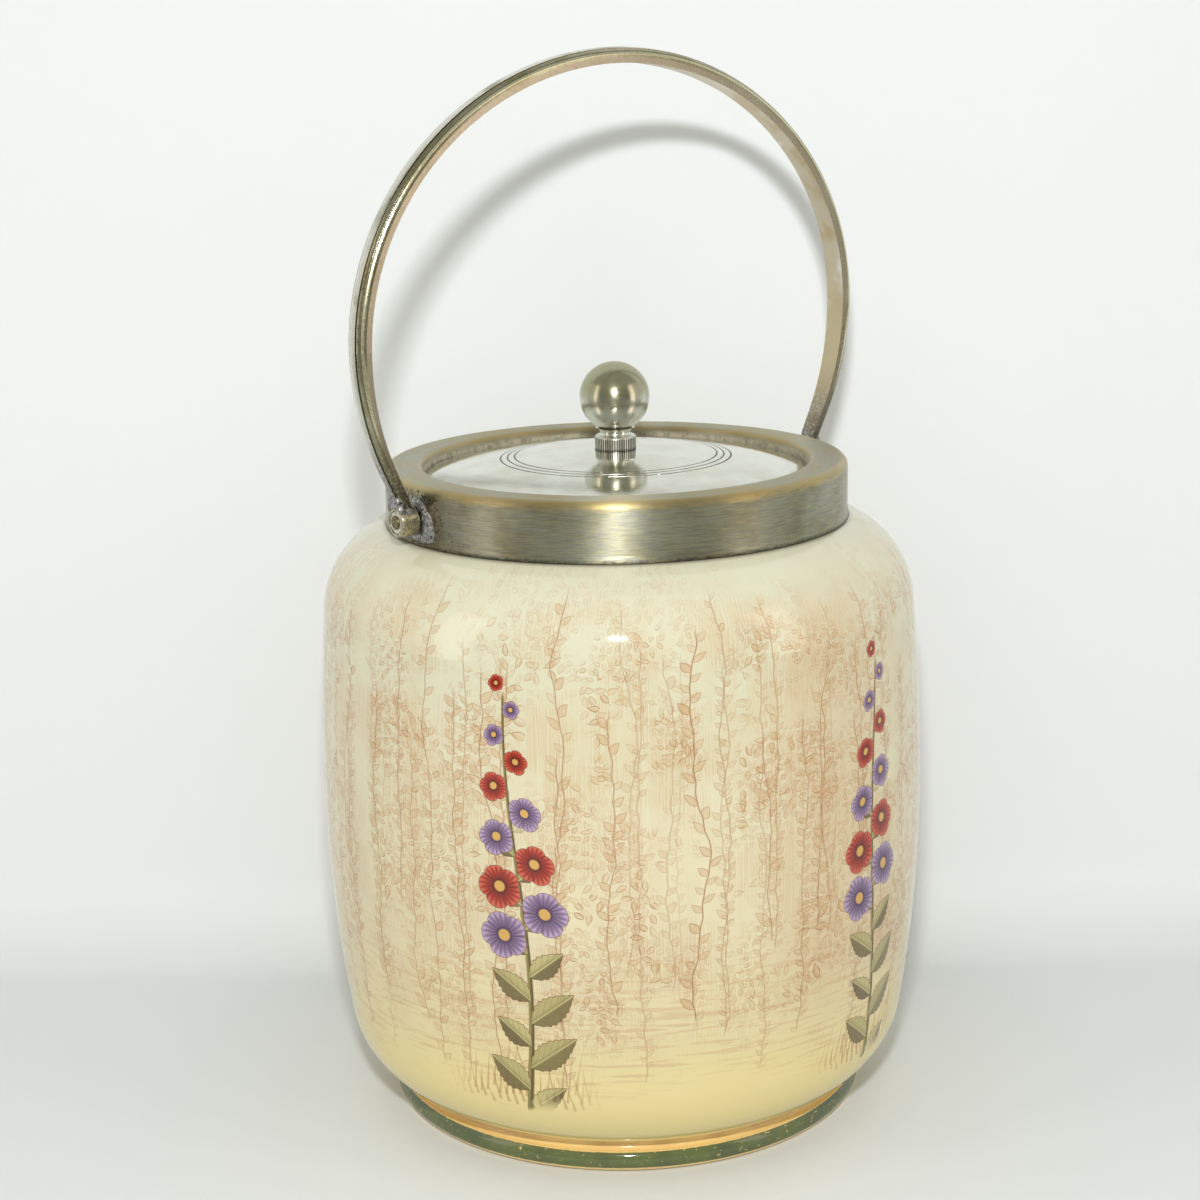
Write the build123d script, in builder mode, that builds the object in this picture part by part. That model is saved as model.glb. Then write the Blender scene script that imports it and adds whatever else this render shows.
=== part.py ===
"""Pottery biscuit jar with a silver-plated collar, a lift-off domed lid and a swing handle.

The origin is on the surface that the jar stands on, under its axis. +Z is up and
the handle's pivot axis runs along X. Lengths are in millimetres, angles in degrees.
"""
from build123d import *
import os
from math import asin, cos, degrees, radians, sin, sqrt

os.makedirs("parts", exist_ok=True)

# ---- Pottery body -------------------------------------------------------------------
body_radius = 73.7  # at its widest
belly_height = 78.0  # level of that widest place
lower_side_curve = 350.0  # radius of the side's curve below it
upper_side_curve = 600.0  # and above it
belly_bottom = 5.65  # lowest level of the rounded belly
shoulder_height = 146.0  # highest level of the rounded shoulder
heel_curve = 20.9
shoulder_curve = 22.0
wall = 4.5
throat_round = 1.5  # where the neck's bore opens into the belly

# ---- Foot ring ----------------------------------------------------------------------
foot_height = 5.2
foot_radius = 56.6  # outer edge of the face that it stands on
foot_bead_swell = 2.2  # how far the bead stands out past that edge
foot_width = 5.6
foot_recess = 3.2  # hollow under the base
waist_height = 2.6  # from the bead up to the belly
waist_depth = 1.5  # how far the waist is drawn in behind the bead

# ---- Hidden neck --------------------------------------------------------------------
neck_wall = 5.5
neck_rim_round = 1.2

# ---- Plated collar ------------------------------------------------------------------
collar_radius = 55.8
collar_height = 13.8
collar_flare = 0.4  # of its lower edge
collar_flare_height = 1.6
sheet = 1.0  # thickness of the plated sheet
collar_shoulder_round = 1.9
rim_width = 9.3  # flat top, from the band to the recess
lip_round = 1.6
recess_depth = 4.2

# ---- Seat ring in the recess, and the plaster round the neck ------------------------
seat_ledge = 3.2
seat_skirt_depth = 7.0
seat_skirt_clearance = 0.7  # round the skirt, in the neck's bore
seat_edge_round = 0.5
bed_clearance = 0.05  # between pieces that are cemented or soldered together
bed_chamfer = 1.2

# ---- Lid ----------------------------------------------------------------------------
lid_clearance = 0.4  # all round, in the recess
lid_rest_gap = 0.02
lid_edge_height = 1.3
lid_rim_width = 1.2
lid_rise = 5.2  # of the dome above the lid's edge
engraved_ring_radius = 27.85  # of the outermost ring
engraved_ring_pitch = 1.7
engraved_ring_count = 3
engraving_radius = 0.2  # of the graver's round cut
locating_ring_clearance = 0.4
locating_ring_depth = 5.0

# ---- Knob ---------------------------------------------------------------------------
ball_radius = 8.43
cup_height = 1.75
cup_rim_radius = 4.7
cup_rim_land = 0.8  # flat of the rim, outside the ball's seat
cup_waist_radius = 3.7
cup_foot_radius = 4.0
ferrule_height = 3.4
ferrule_radius = 5.0
ferrule_round = 0.8
knurl_count = 54
knurl_width = 0.3
knurl_depth = 0.22
stud_radius = 1.5
stud_fit = 0.02  # round the stud, in the pieces that it holds
stud_into_ball = 7.0
stud_end_gap = 0.3
knob_washer_radius = 4.5
knob_washer_thickness = 0.8
nut_across_flats = 5.5
nut_height = 2.4
stud_past_nut = 1.0

# ---- Pivots -------------------------------------------------------------------------
pivot_below_rim = 7.8
pad_radius = 4.2
pad_thickness = 1.0  # past the collar's band
pivot_radius = 1.6
pivot_fit = 0.02  # round the pivot, in the pieces that it is fixed to
pivot_running_clearance = 0.06  # round the pivot, where the knuckle turns on it
pivot_past_knuckle = 0.25
pivot_end_round = 0.3
rivet_head_radius = 2.6  # behind the collar's sheet
rivet_head_thickness = 1.2
rivet_pocket_clearance = 0.3  # round the head, in the plaster
knuckle_radius = 3.5
knuckle_length = 4.7
knuckle_end_gap = 0.25
knuckle_edge_round = 0.35
end_washer_radius = 2.5
end_washer_thickness = 0.7
counterbore_clearance = 0.15

# ---- Swing handle -------------------------------------------------------------------
handle_lean = 1.6  # how far it stands forward of upright
handle_rise = 102.8  # from the pivots to the strip's middle line at the top
leg_foot_level = 2.6  # where the strip's middle line starts, above the pivots
leg_straight = 10.4  # straight lowest stretch
leg_angle = 25.0  # of that stretch, from upright
leg_bend = 66.0  # radius of the bend from there to the widest place
strip_width = 6.2
strip_thickness = 3.6  # from the flat inner face to the crown of the outer one
strip_edge_share = 0.38  # of the thickness, where the outer face starts to curve
foot_strip_width = 4.6  # the strip is drawn thinner towards the pivots
foot_strip_thickness = 2.6
reed_width = 2.6  # rib along the middle of the outer face
reed_groove_width = 0.4
reed_groove_depth = 0.55  # from the level of the crown
cope_gap = 0.03  # between the strip's end and the knuckle that it is soldered to

# ---- Levels and radii that follow ---------------------------------------------------
shoulder_centre_height = shoulder_height - shoulder_curve
shoulder_centre_radius = (
    body_radius
    - upper_side_curve
    + sqrt((upper_side_curve - shoulder_curve) ** 2 - (shoulder_centre_height - belly_height) ** 2)
)


def shoulder_level(radius, lift=0.0):
    """Level of the pottery's flat top and rounded shoulder at this radius, or of a skin laid on it."""
    down_the_round = max(0, radius - shoulder_centre_radius)
    return shoulder_centre_height + sqrt((shoulder_curve + lift) ** 2 - down_the_round**2)


collar_bottom = shoulder_level(collar_radius + collar_flare - sheet, bed_clearance)
collar_top = collar_bottom + collar_height
collar_inner = collar_radius - sheet
recess_radius = collar_radius - rim_width
recess_floor = collar_top - recess_depth
seat_bore = recess_radius - seat_ledge
neck_top = recess_floor - sheet - bed_clearance
neck_bore = seat_bore + sheet + seat_skirt_clearance
neck_radius = neck_bore + neck_wall

lid_radius = recess_radius - lid_clearance
lid_bottom = recess_floor + lid_rest_gap
lid_edge_top = lid_bottom + lid_edge_height
dome_top = lid_edge_top + lid_rise
dome_curve = (lid_radius**2 + lid_rise**2) / (2 * lid_rise)

ferrule_top = dome_top + ferrule_height
cup_top = ferrule_top + cup_height
ball_seat_radius = cup_rim_radius - cup_rim_land
ball_height = cup_top + sqrt(ball_radius**2 - ball_seat_radius**2)
stud_top = ball_height - ball_radius + stud_into_ball
stud_hole = stud_radius + stud_fit

pivot_height = collar_top - pivot_below_rim
pad_face = collar_radius + pad_thickness
knuckle_start = pad_face + knuckle_end_gap
knuckle_end = knuckle_start + knuckle_length
end_washer_start = knuckle_end - end_washer_thickness
pivot_hole = pivot_radius + pivot_fit
rivet_head_end = sqrt(collar_inner**2 - rivet_head_radius**2) - bed_clearance
rivet_head_start = rivet_head_end - rivet_head_thickness


def dome_point(radius, skin=0.0):
    """Point of the lid's dome, this deep under its upper surface."""
    return radius, dome_top - dome_curve + sqrt((dome_curve - skin) ** 2 - radius**2)


def corner(sketch, x, y):
    """The sketch's corner nearest to this place."""
    return sketch.vertices().sort_by_distance((x, y))[0]


def finish(part, name):
    """Label a piece and write it to its own file."""
    part.label = name
    export_step(part, f"parts/{name}.step")


# ---- Jar body: belly, foot ring and neck, hollowed ----------------------------------
def belly_section(low, high, inset):
    """Half section of the belly between two levels, its walls drawn in by an inset."""
    arcs = []
    ends = []
    for curve, level in ((lower_side_curve, low), (upper_side_curve, high)):
        angle = degrees(asin((level - belly_height) / (curve - inset)))
        arcs.append(((body_radius - curve, belly_height), curve - inset, 0, angle))
        ends.append((body_radius - curve + (curve - inset) * cos(radians(angle)), level))
    with BuildSketch(Plane.XZ) as section:
        with BuildLine():
            for arc in arcs:
                CenterArc(*arc)
            Polyline(ends[0], (0, low), (0, high), ends[1])
        make_face()
        fillet(corner(section, *ends[0]), heel_curve - inset)
        fillet(corner(section, *ends[1]), shoulder_curve - inset)
    return section.sketch


foot_inner = foot_radius - foot_width
foot_top_radius = foot_radius + foot_bead_swell / 2
waist_top = foot_height + waist_height
waist_radius = foot_top_radius - waist_depth
cavity_top = shoulder_height - wall

with BuildPart() as jar_body:
    revolve(belly_section(belly_bottom, shoulder_height, 0), axis=Axis.Z)
    with BuildSketch(Plane.XZ):
        with BuildLine():
            Polyline((foot_top_radius, waist_top), (foot_top_radius, belly_height), (0, belly_height))
            Polyline((0, belly_height), (0, foot_recess), (foot_inner, foot_recess))
            Polyline((foot_inner, foot_recess), (foot_inner, 0), (foot_radius, 0))
            ThreePointArc(
                (foot_radius, 0),
                (foot_radius + foot_bead_swell, foot_height / 2),
                (foot_top_radius, foot_height),
            )
            ThreePointArc(
                (foot_top_radius, foot_height),
                (waist_radius, (foot_height + waist_top) / 2),
                (foot_top_radius, waist_top),
            )
        make_face()
    revolve(axis=Axis.Z)
    with BuildSketch(Plane.XZ) as neck_section:
        with Locations((neck_radius / 2, (belly_height + neck_top) / 2)):
            Rectangle(neck_radius, neck_top - belly_height)
        fillet(corner(neck_section, neck_radius, neck_top), neck_rim_round)
    revolve(axis=Axis.Z)
    with BuildSketch(Plane.XZ) as hollow_section:
        add(Plane.XZ.to_local_coords(belly_section(belly_bottom + wall, cavity_top, wall)))
        with Locations((neck_bore / 2, (belly_height + neck_top) / 2)):
            Rectangle(neck_bore, neck_top - belly_height)
        fillet(corner(hollow_section, neck_bore, cavity_top), throat_round)
    revolve(axis=Axis.Z, mode=Mode.SUBTRACT)
finish(jar_body.part, "jar_body")


# ---- Collar: one sheet from the band over the rim and down into the recess ----------
with BuildPart() as collar:
    with BuildSketch(Plane.XZ) as collar_section:
        flare_top = collar_bottom + collar_flare_height
        recess_wall_outer = recess_radius + sheet
        with BuildLine():
            Polyline(
                (collar_radius + collar_flare, collar_bottom),
                (collar_radius, flare_top),
                (collar_radius, collar_top),
                (recess_radius, collar_top),
                (recess_radius, recess_floor - sheet),
                (recess_wall_outer, recess_floor - sheet),
                (recess_wall_outer, collar_top - sheet),
                (collar_inner, collar_top - sheet),
                (collar_inner, flare_top),
                (collar_inner + collar_flare, collar_bottom),
                close=True,
            )
        make_face()
        fillet(corner(collar_section, collar_radius, collar_top), collar_shoulder_round)
        fillet(corner(collar_section, collar_inner, collar_top - sheet), collar_shoulder_round - sheet)
        fillet(corner(collar_section, recess_radius, collar_top), lip_round)
        fillet(corner(collar_section, recess_wall_outer, collar_top - sheet), lip_round - sheet)
    revolve(axis=Axis.Z)
    with BuildSketch(Plane.YZ):
        with Locations((0, pivot_height)):
            Circle(pivot_hole)
    extrude(amount=collar_radius + collar_flare, both=True, mode=Mode.SUBTRACT)
finish(collar.part, "collar")


# ---- Seat ring that the lid rests on ------------------------------------------------
with BuildPart() as collar_seat_ring:
    with BuildSketch(Plane.XZ) as seat_section:
        with BuildLine():
            Polyline(
                (seat_bore, recess_floor),
                (recess_radius - bed_clearance, recess_floor),
                (recess_radius - bed_clearance, recess_floor - sheet),
                (seat_bore + sheet, recess_floor - sheet),
                (seat_bore + sheet, recess_floor - seat_skirt_depth),
                (seat_bore, recess_floor - seat_skirt_depth),
                close=True,
            )
        make_face()
        fillet(corner(seat_section, seat_bore, recess_floor), seat_edge_round)
    revolve(axis=Axis.Z)
finish(collar_seat_ring.part, "collar_seat_ring")


# ---- Plaster that beds the collar on the neck ---------------------------------------
bed_inner = neck_radius + bed_clearance
bed_outer = collar_inner - bed_clearance
bed_lip_inner = recess_radius + sheet + bed_clearance
bed_top = collar_top - sheet - bed_clearance

with BuildPart() as plaster_bed:
    with BuildSketch(Plane.XZ) as bed_section:
        with BuildLine():
            Polyline(
                (bed_outer, collar_bottom),
                (bed_outer, bed_top),
                (bed_lip_inner, bed_top),
                (bed_lip_inner, neck_top + bed_clearance),
                (bed_inner, neck_top + bed_clearance),
                (bed_inner, collar_bottom),
                close=True,
            )
        make_face()
        chamfer(corner(bed_section, bed_outer, bed_top), bed_chamfer)
        chamfer(corner(bed_section, bed_lip_inner, bed_top), bed_chamfer)
    revolve(axis=Axis.Z)
    revolve(
        belly_section(belly_bottom - bed_clearance, shoulder_height + bed_clearance, -bed_clearance),
        axis=Axis.Z,
        mode=Mode.SUBTRACT,
    )
    for side in (-1, 1):
        with BuildSketch(Plane.YZ.offset(side * (rivet_head_start - rivet_pocket_clearance))):
            with Locations((0, pivot_height)):
                Circle(rivet_head_radius + rivet_pocket_clearance)
        extrude(amount=side * collar_radius, mode=Mode.SUBTRACT)
finish(plaster_bed.part, "plaster_bed")


# ---- Lid: domed sheet with engraved rings, and the ring that centres it -------------
with BuildPart() as lid_disc:
    rim_inner = lid_radius - lid_rim_width
    with BuildSketch(Plane.XZ):
        with BuildLine():
            ThreePointArc(dome_point(0), dome_point(lid_radius / 2), dome_point(lid_radius))
            Polyline(
                dome_point(lid_radius),
                (lid_radius, lid_bottom),
                (rim_inner, lid_bottom),
                dome_point(rim_inner, sheet),
            )
            ThreePointArc(
                dome_point(rim_inner, sheet), dome_point(rim_inner / 2, sheet), dome_point(0, sheet)
            )
            Line(dome_point(0, sheet), dome_point(0))
        make_face()
    revolve(axis=Axis.Z)
    with BuildSketch(Plane.XZ):
        for ring in range(engraved_ring_count):
            with Locations(dome_point(engraved_ring_radius - ring * engraved_ring_pitch)):
                Circle(engraving_radius)
    revolve(axis=Axis.Z, mode=Mode.SUBTRACT)
    with BuildSketch(Plane.XY.offset(lid_bottom)):
        Circle(stud_hole)
    extrude(amount=dome_top - lid_bottom, mode=Mode.SUBTRACT)
finish(lid_disc.part, "lid_disc")

with BuildPart() as lid_locating_ring:
    ring_outer = seat_bore - locating_ring_clearance
    ring_inner = ring_outer - sheet
    ring_bottom = recess_floor - locating_ring_depth
    with BuildSketch(Plane.XZ):
        with BuildLine():
            Polyline(
                dome_point(ring_inner, sheet + bed_clearance),
                dome_point(ring_outer, sheet + bed_clearance),
                (ring_outer, ring_bottom),
                (ring_inner, ring_bottom),
                close=True,
            )
        make_face()
    revolve(axis=Axis.Z)
finish(lid_locating_ring.part, "lid_locating_ring")


# ---- Knob: ball, cupped neck and knurled ferrule, held by a stud, washer and nut ----
with BuildPart() as knob_ball:
    with Locations((0, 0, ball_height)):
        Sphere(ball_radius)
    with BuildSketch(Plane.XY.offset(ball_height - ball_radius)):
        Circle(stud_hole)
    extrude(amount=stud_into_ball + stud_end_gap, mode=Mode.SUBTRACT)
finish(knob_ball.part, "knob_ball")

with BuildPart() as knob_neck:
    with BuildSketch(Plane.XZ):
        with BuildLine():
            ThreePointArc(
                (cup_foot_radius, ferrule_top),
                (cup_waist_radius, ferrule_top + cup_height / 3),
                (cup_rim_radius, cup_top),
            )
            Polyline(
                (cup_rim_radius, cup_top),
                (stud_hole, cup_top),
                (stud_hole, ferrule_top),
                (cup_foot_radius, ferrule_top),
            )
        make_face()
    revolve(axis=Axis.Z)
    with Locations((0, 0, ball_height)):
        Sphere(ball_radius + bed_clearance, mode=Mode.SUBTRACT)
finish(knob_neck.part, "knob_neck")

with BuildPart() as knurled_ferrule:
    with BuildSketch(Plane.XY.offset(dome_top)):
        Circle(ferrule_radius)
    extrude(amount=ferrule_height)
    fillet(knurled_ferrule.faces().sort_by(Axis.Z)[-1].edges(), ferrule_round)
    with BuildSketch(Plane.XY.offset(dome_top)):
        Circle(stud_hole)
        with PolarLocations(ferrule_radius, knurl_count):
            Rectangle(2 * knurl_depth, knurl_width)
    extrude(amount=ferrule_height, mode=Mode.SUBTRACT)
finish(knurled_ferrule.part, "knurled_ferrule")

washer_top = dome_point(knob_washer_radius, sheet)[1]
nut_top = washer_top - knob_washer_thickness
stud_bottom = nut_top - nut_height - stud_past_nut

with BuildPart() as knob_washer:
    with BuildSketch(Plane.XY.offset(nut_top)):
        Circle(knob_washer_radius)
        Circle(stud_hole, mode=Mode.SUBTRACT)
    extrude(amount=knob_washer_thickness)
finish(knob_washer.part, "knob_washer")

with BuildPart() as knob_nut:
    with BuildSketch(Plane.XY.offset(nut_top)):
        RegularPolygon(nut_across_flats / 2, 6, major_radius=False)
        Circle(stud_hole, mode=Mode.SUBTRACT)
    extrude(amount=-nut_height)
finish(knob_nut.part, "knob_nut")

with BuildPart() as knob_stud:
    with BuildSketch(Plane.XY.offset(stud_bottom)):
        Circle(stud_radius)
    extrude(amount=stud_top - stud_bottom)
finish(knob_stud.part, "knob_stud")


# ---- Pivots: a soldered pad, a riveted pivot, its end washer and the knuckle --------
for side, name in ((-1, "left"), (1, "right")):
    pivot_plane = Plane((0, 0, pivot_height), x_dir=(0, 1, 0), z_dir=(side, 0, 0))
    outward = Axis((0, 0, pivot_height), (side, 0, 0))

    with BuildPart() as pivot_pad:
        with BuildSketch(pivot_plane.offset(collar_inner)):
            Circle(pad_radius)
            Circle(pivot_hole, mode=Mode.SUBTRACT)
        extrude(amount=pad_face - collar_inner)
        with BuildSketch(Plane.XY.offset(collar_bottom)):
            Circle(collar_radius + bed_clearance)
        extrude(amount=collar_height, mode=Mode.SUBTRACT)
    finish(pivot_pad.part, f"{name}_pivot_pad")

    with BuildPart() as pivot_stud:
        with BuildSketch(pivot_plane.offset(rivet_head_start)):
            Circle(pivot_radius)
        extrude(amount=knuckle_end + pivot_past_knuckle - rivet_head_start)
        fillet(pivot_stud.faces().sort_by(outward)[-1].edges(), pivot_end_round)
        with BuildSketch(pivot_plane.offset(rivet_head_start)):
            Circle(rivet_head_radius)
        extrude(amount=rivet_head_thickness)
    finish(pivot_stud.part, f"{name}_pivot_stud")

    with BuildPart() as stud_washer:
        with BuildSketch(pivot_plane.offset(end_washer_start)):
            Circle(end_washer_radius)
            Circle(pivot_hole, mode=Mode.SUBTRACT)
        extrude(amount=end_washer_thickness - counterbore_clearance)
    finish(stud_washer.part, f"{name}_stud_washer")

    with BuildPart() as knuckle:
        with BuildSketch(pivot_plane.offset(knuckle_start)):
            Circle(knuckle_radius)
        extrude(amount=knuckle_length)
        fillet(knuckle.edges().filter_by(GeomType.CIRCLE), knuckle_edge_round)
        with BuildSketch(pivot_plane.offset(knuckle_start)):
            Circle(pivot_radius + pivot_running_clearance)
        extrude(amount=knuckle_length, mode=Mode.SUBTRACT)
        with BuildSketch(pivot_plane.offset(end_washer_start - counterbore_clearance)):
            Circle(end_washer_radius + counterbore_clearance)
        extrude(amount=knuckle_length, mode=Mode.SUBTRACT)
    finish(knuckle.part, f"{name}_knuckle")


# ---- Handle: a reeded strip bent into a tall hoop -----------------------------------
handle_plane = Plane(
    (0, 0, pivot_height),
    x_dir=(1, 0, 0),
    z_dir=(0, -cos(radians(handle_lean)), -sin(radians(handle_lean))),
)


def strip_section(path, width, thickness, place=0):
    """The strip's section across a path: flat inside, half round outside with a rib along it."""
    groove_place = (reed_width + reed_groove_width) / 2
    edge = strip_edge_share * thickness
    with BuildSketch(Plane(path @ place, x_dir=handle_plane.z_dir, z_dir=path % place)) as section:
        with Locations((0, edge - thickness / 2)):
            Ellipse(width / 2, thickness - edge)
        Rectangle(width, thickness, mode=Mode.INTERSECT)
        with Locations((0, (edge - thickness) / 2)):
            Rectangle(width, edge)
        with Locations((-groove_place, thickness / 2), (groove_place, thickness / 2)):
            Rectangle(reed_groove_width, 2 * reed_groove_depth, mode=Mode.SUBTRACT)
    return section.sketch


leg_x = (knuckle_start + knuckle_end) / 2
bend_x = leg_x + leg_straight * sin(radians(leg_angle))
bend_level = leg_foot_level + leg_straight * cos(radians(leg_angle))
widest_x = bend_x + leg_bend * (1 - cos(radians(leg_angle)))
widest_level = bend_level + leg_bend * sin(radians(leg_angle))

with BuildLine(handle_plane) as leg_line:
    Line((leg_x, leg_foot_level), (bend_x, bend_level))
    CenterArc((widest_x - leg_bend, widest_level), leg_bend, -leg_angle, leg_angle)
leg_path = leg_line.wire()

with BuildLine(handle_plane) as arch_line:
    EllipticalCenterArc((0, widest_level), widest_x, handle_rise - widest_level, 0, arc_size=90)
arch_path = arch_line.wire()

leg_sections = (
    strip_section(leg_path, foot_strip_width, foot_strip_thickness),
    strip_section(leg_path, strip_width, strip_thickness, 1),
)
arch_section = strip_section(arch_path, strip_width, strip_thickness)

with BuildPart() as handle_strip:
    sweep(leg_sections, leg_path, multisection=True)
    sweep(arch_section, arch_path)
    with Locations(Location((leg_x, 0, pivot_height), (0, 90, 0))):
        Cylinder(knuckle_radius + cope_gap, 2 * knuckle_length, mode=Mode.SUBTRACT)
    mirror(about=Plane.YZ)
finish(handle_strip.part, "handle_strip")
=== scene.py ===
"""Looks of the biscuit jar: glazed and printed pottery, aged silver plate, solder and brass."""
from math import cos, pi, radians, sin, sqrt

import bpy
from mathutils import Matrix, Vector, noise


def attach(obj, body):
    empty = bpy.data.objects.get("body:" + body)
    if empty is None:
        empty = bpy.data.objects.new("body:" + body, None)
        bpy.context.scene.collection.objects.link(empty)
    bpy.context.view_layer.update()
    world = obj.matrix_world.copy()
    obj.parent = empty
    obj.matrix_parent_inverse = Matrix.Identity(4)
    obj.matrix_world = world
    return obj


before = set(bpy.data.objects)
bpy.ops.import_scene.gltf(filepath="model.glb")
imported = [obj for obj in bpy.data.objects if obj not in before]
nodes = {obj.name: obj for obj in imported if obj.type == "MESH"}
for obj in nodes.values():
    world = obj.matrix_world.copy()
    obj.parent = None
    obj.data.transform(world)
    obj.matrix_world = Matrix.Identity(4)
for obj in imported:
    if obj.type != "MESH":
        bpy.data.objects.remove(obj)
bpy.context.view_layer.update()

MM = 0.001

# ---- Sizes of the solids that the looks follow, in millimetres --------------------------
BODY_RADIUS = 73.7
BEAD_FOOT, FOOT_TOP, WAIST_TOP = 1.35, 5.2, 7.8
FOOT_FACE_INNER, FOOT_FACE_OUTER = 51.0, 56.6
COLLAR_BOTTOM, COLLAR_TOP = 145.395, 159.195
COLLAR_RADIUS, RECESS_RADIUS = 55.8, 46.5
PIVOT_HEIGHT = 151.395
PAD_RADIUS, PAD_FACE = 4.2, 56.8
KNUCKLE_RADIUS = 3.5
LEG_X, LEG_LEVEL, LEG_ANGLE = 59.4, 2.6, radians(25)  # the strip's foot, from the pivot
FOOT_HALF_THICK, FOOT_HALF_WIDE = 1.4, 2.3
STRIP_LEAN = radians(1.6)
STRIP_HALF, RIB_HALF, GROOVE_END = 3.1, 1.3, 1.7  # across the strip, from its middle
LID_RADIUS = 46.1
ENGRAVED_RINGS, RING_HALF = (24.45, 26.15, 27.85), 0.2
FERRULE_FOOT, FERRULE_TOP, FERRULE_RADIUS, KNURLS = 161.51, 164.91, 5.0, 54
BALL_CENTRE, BALL_SEAT = 174.14, 166.0

# ---- Camera ---------------------------------------------------------------------------
FOCAL_SHARE = 2362.3 / 1200  # focal length as a share of the picture's width
CAMERA_DISTANCE = 0.5634  # from the jar's axis
CAMERA_HEIGHT = 0.2596
PITCH, YAW, ROLL = radians(13.55), radians(-0.461), radians(-1.223)
PIVOT_TURN = radians(35)  # the handle's axis, turned from the picture's own left and right
SENSOR_WIDTH = 36
CLIP_START = 0.01


def new_object(name, data):
    """A new object with this data, linked to the scene."""
    thing = bpy.data.objects.new(name, data)
    bpy.context.scene.collection.objects.link(thing)
    return thing


def turned(x, y, z):
    """A direction or place given from the camera's side, in the jar's frame."""
    return Vector(
        (
            x * cos(PIVOT_TURN) + y * sin(PIVOT_TURN),
            y * cos(PIVOT_TURN) - x * sin(PIVOT_TURN),
            z,
        )
    )


def make_camera():
    forward = Vector((sin(YAW) * cos(PITCH), cos(YAW) * cos(PITCH), -sin(PITCH)))
    level = Vector((cos(YAW), -sin(YAW), 0))
    upright = level.cross(forward)
    right = turned(*(cos(ROLL) * level + sin(ROLL) * upright))
    up = turned(*(cos(ROLL) * upright - sin(ROLL) * level))
    axes = Matrix((right, up, -turned(*forward))).transposed().to_4x4()
    data = bpy.data.cameras.new("camera")
    data.sensor_width = SENSOR_WIDTH
    data.lens = SENSOR_WIDTH * FOCAL_SHARE
    data.clip_start = CLIP_START
    camera = new_object("camera", data)
    camera.matrix_world = Matrix.Translation(turned(0, -CAMERA_DISTANCE, CAMERA_HEIGHT)) @ axes
    bpy.context.scene.camera = camera


# ---- Arithmetic on shader nodes -------------------------------------------------------
def plug(slot, value):
    """Give a socket a constant, or link it to a field."""
    if isinstance(value, Field):
        value.tree.links.new(value.socket, slot)
    elif isinstance(value, tuple) and len(slot.default_value) == 4:
        slot.default_value = (*value, 1)
    else:
        slot.default_value = value


def maths(operation, *values):
    """A Math node on fields and numbers."""
    tree = next(v.tree for v in values if isinstance(v, Field))
    node = tree.nodes.new("ShaderNodeMath")
    node.operation = operation
    for slot, value in zip(node.inputs, values):
        plug(slot, value)
    return Field(node.outputs[0])


class Field:
    """One output of a shader node, on which ordinary arithmetic works."""

    def __init__(self, socket):
        self.socket = socket
        self.tree = socket.id_data

    def __add__(self, other):
        return maths("ADD", self, other)

    def __sub__(self, other):
        return maths("SUBTRACT", self, other)

    def __rsub__(self, other):
        return maths("SUBTRACT", other, self)

    def __mul__(self, other):
        return maths("MULTIPLY", self, other)

    def __truediv__(self, other):
        return maths("DIVIDE", self, other)

    def __gt__(self, other):
        return maths("GREATER_THAN", self, other)

    def __lt__(self, other):
        return maths("LESS_THAN", self, other)

    def __abs__(self):
        return maths("ABSOLUTE", self)

    __radd__, __rmul__ = __add__, __mul__


def wave(x):
    return maths("SINE", x)


def whole(x):
    return maths("FLOOR", x)


def lesser(a, b):
    return maths("MINIMUM", a, b)


def greater(a, b):
    return maths("MAXIMUM", a, b)


def between(x, low, high):
    """x held between two limits."""
    return lesser(greater(x, low), high)


def power(x, exponent):
    return maths("POWER", x, exponent)


def length(x, y):
    """How far a place is from the axis on which x and y are 0."""
    return maths("SQRT", x * x + y * y)


def ramp(x, start, end):
    """0 before start, 1 after end and smooth between them; start may be the larger."""
    node = x.tree.nodes.new("ShaderNodeMapRange")
    node.interpolation_type = "SMOOTHSTEP"
    for name, value in (("Value", x), ("From Min", start), ("From Max", end)):
        plug(node.inputs[name], value)
    return Field(node.outputs["Result"])


def band(x, low, high, soft):
    """1 between two limits, with soft ends."""
    return ramp(x, low - soft, low + soft) * ramp(x, high + soft, high - soft)


def vector(x, y, z=0.0):
    """Three numbers as one place. Arithmetic on the result isn't done part by part."""
    tree = next(v.tree for v in (x, y, z) if isinstance(v, Field))
    node = tree.nodes.new("ShaderNodeCombineXYZ")
    for slot, value in zip(node.inputs, (x, y, z)):
        plug(slot, value)
    return Field(node.outputs[0])


def noise_at(place, scale, detail=2.0, roughness=0.5, distortion=0.0):
    """Smooth noise from 0 to 1 with scale features to a unit of place."""
    node = place.tree.nodes.new("ShaderNodeTexNoise")
    values = {
        "Vector": place,
        "Scale": scale,
        "Detail": detail,
        "Roughness": roughness,
        "Distortion": distortion,
    }
    for name, value in values.items():
        plug(node.inputs[name], value)
    return Field(node.outputs["Fac"])


def random_at(x, y):
    """A number from 0 to 1 that belongs to this pair of numbers."""
    node = x.tree.nodes.new("ShaderNodeTexWhiteNoise")
    node.noise_dimensions = "2D"
    plug(node.inputs["Vector"], vector(x, y))
    return Field(node.outputs["Value"])


MIX_INPUTS, MIX_RESULT = (0, 6, 7), 2  # a Mix node's sockets for colours


def blend(share, first, second):
    """Colour between two colours."""
    node = share.tree.nodes.new("ShaderNodeMix")
    node.data_type = "RGBA"
    for index, value in zip(MIX_INPUTS, (share, first, second)):
        plug(node.inputs[index], value)
    return Field(node.outputs[MIX_RESULT])


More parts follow.
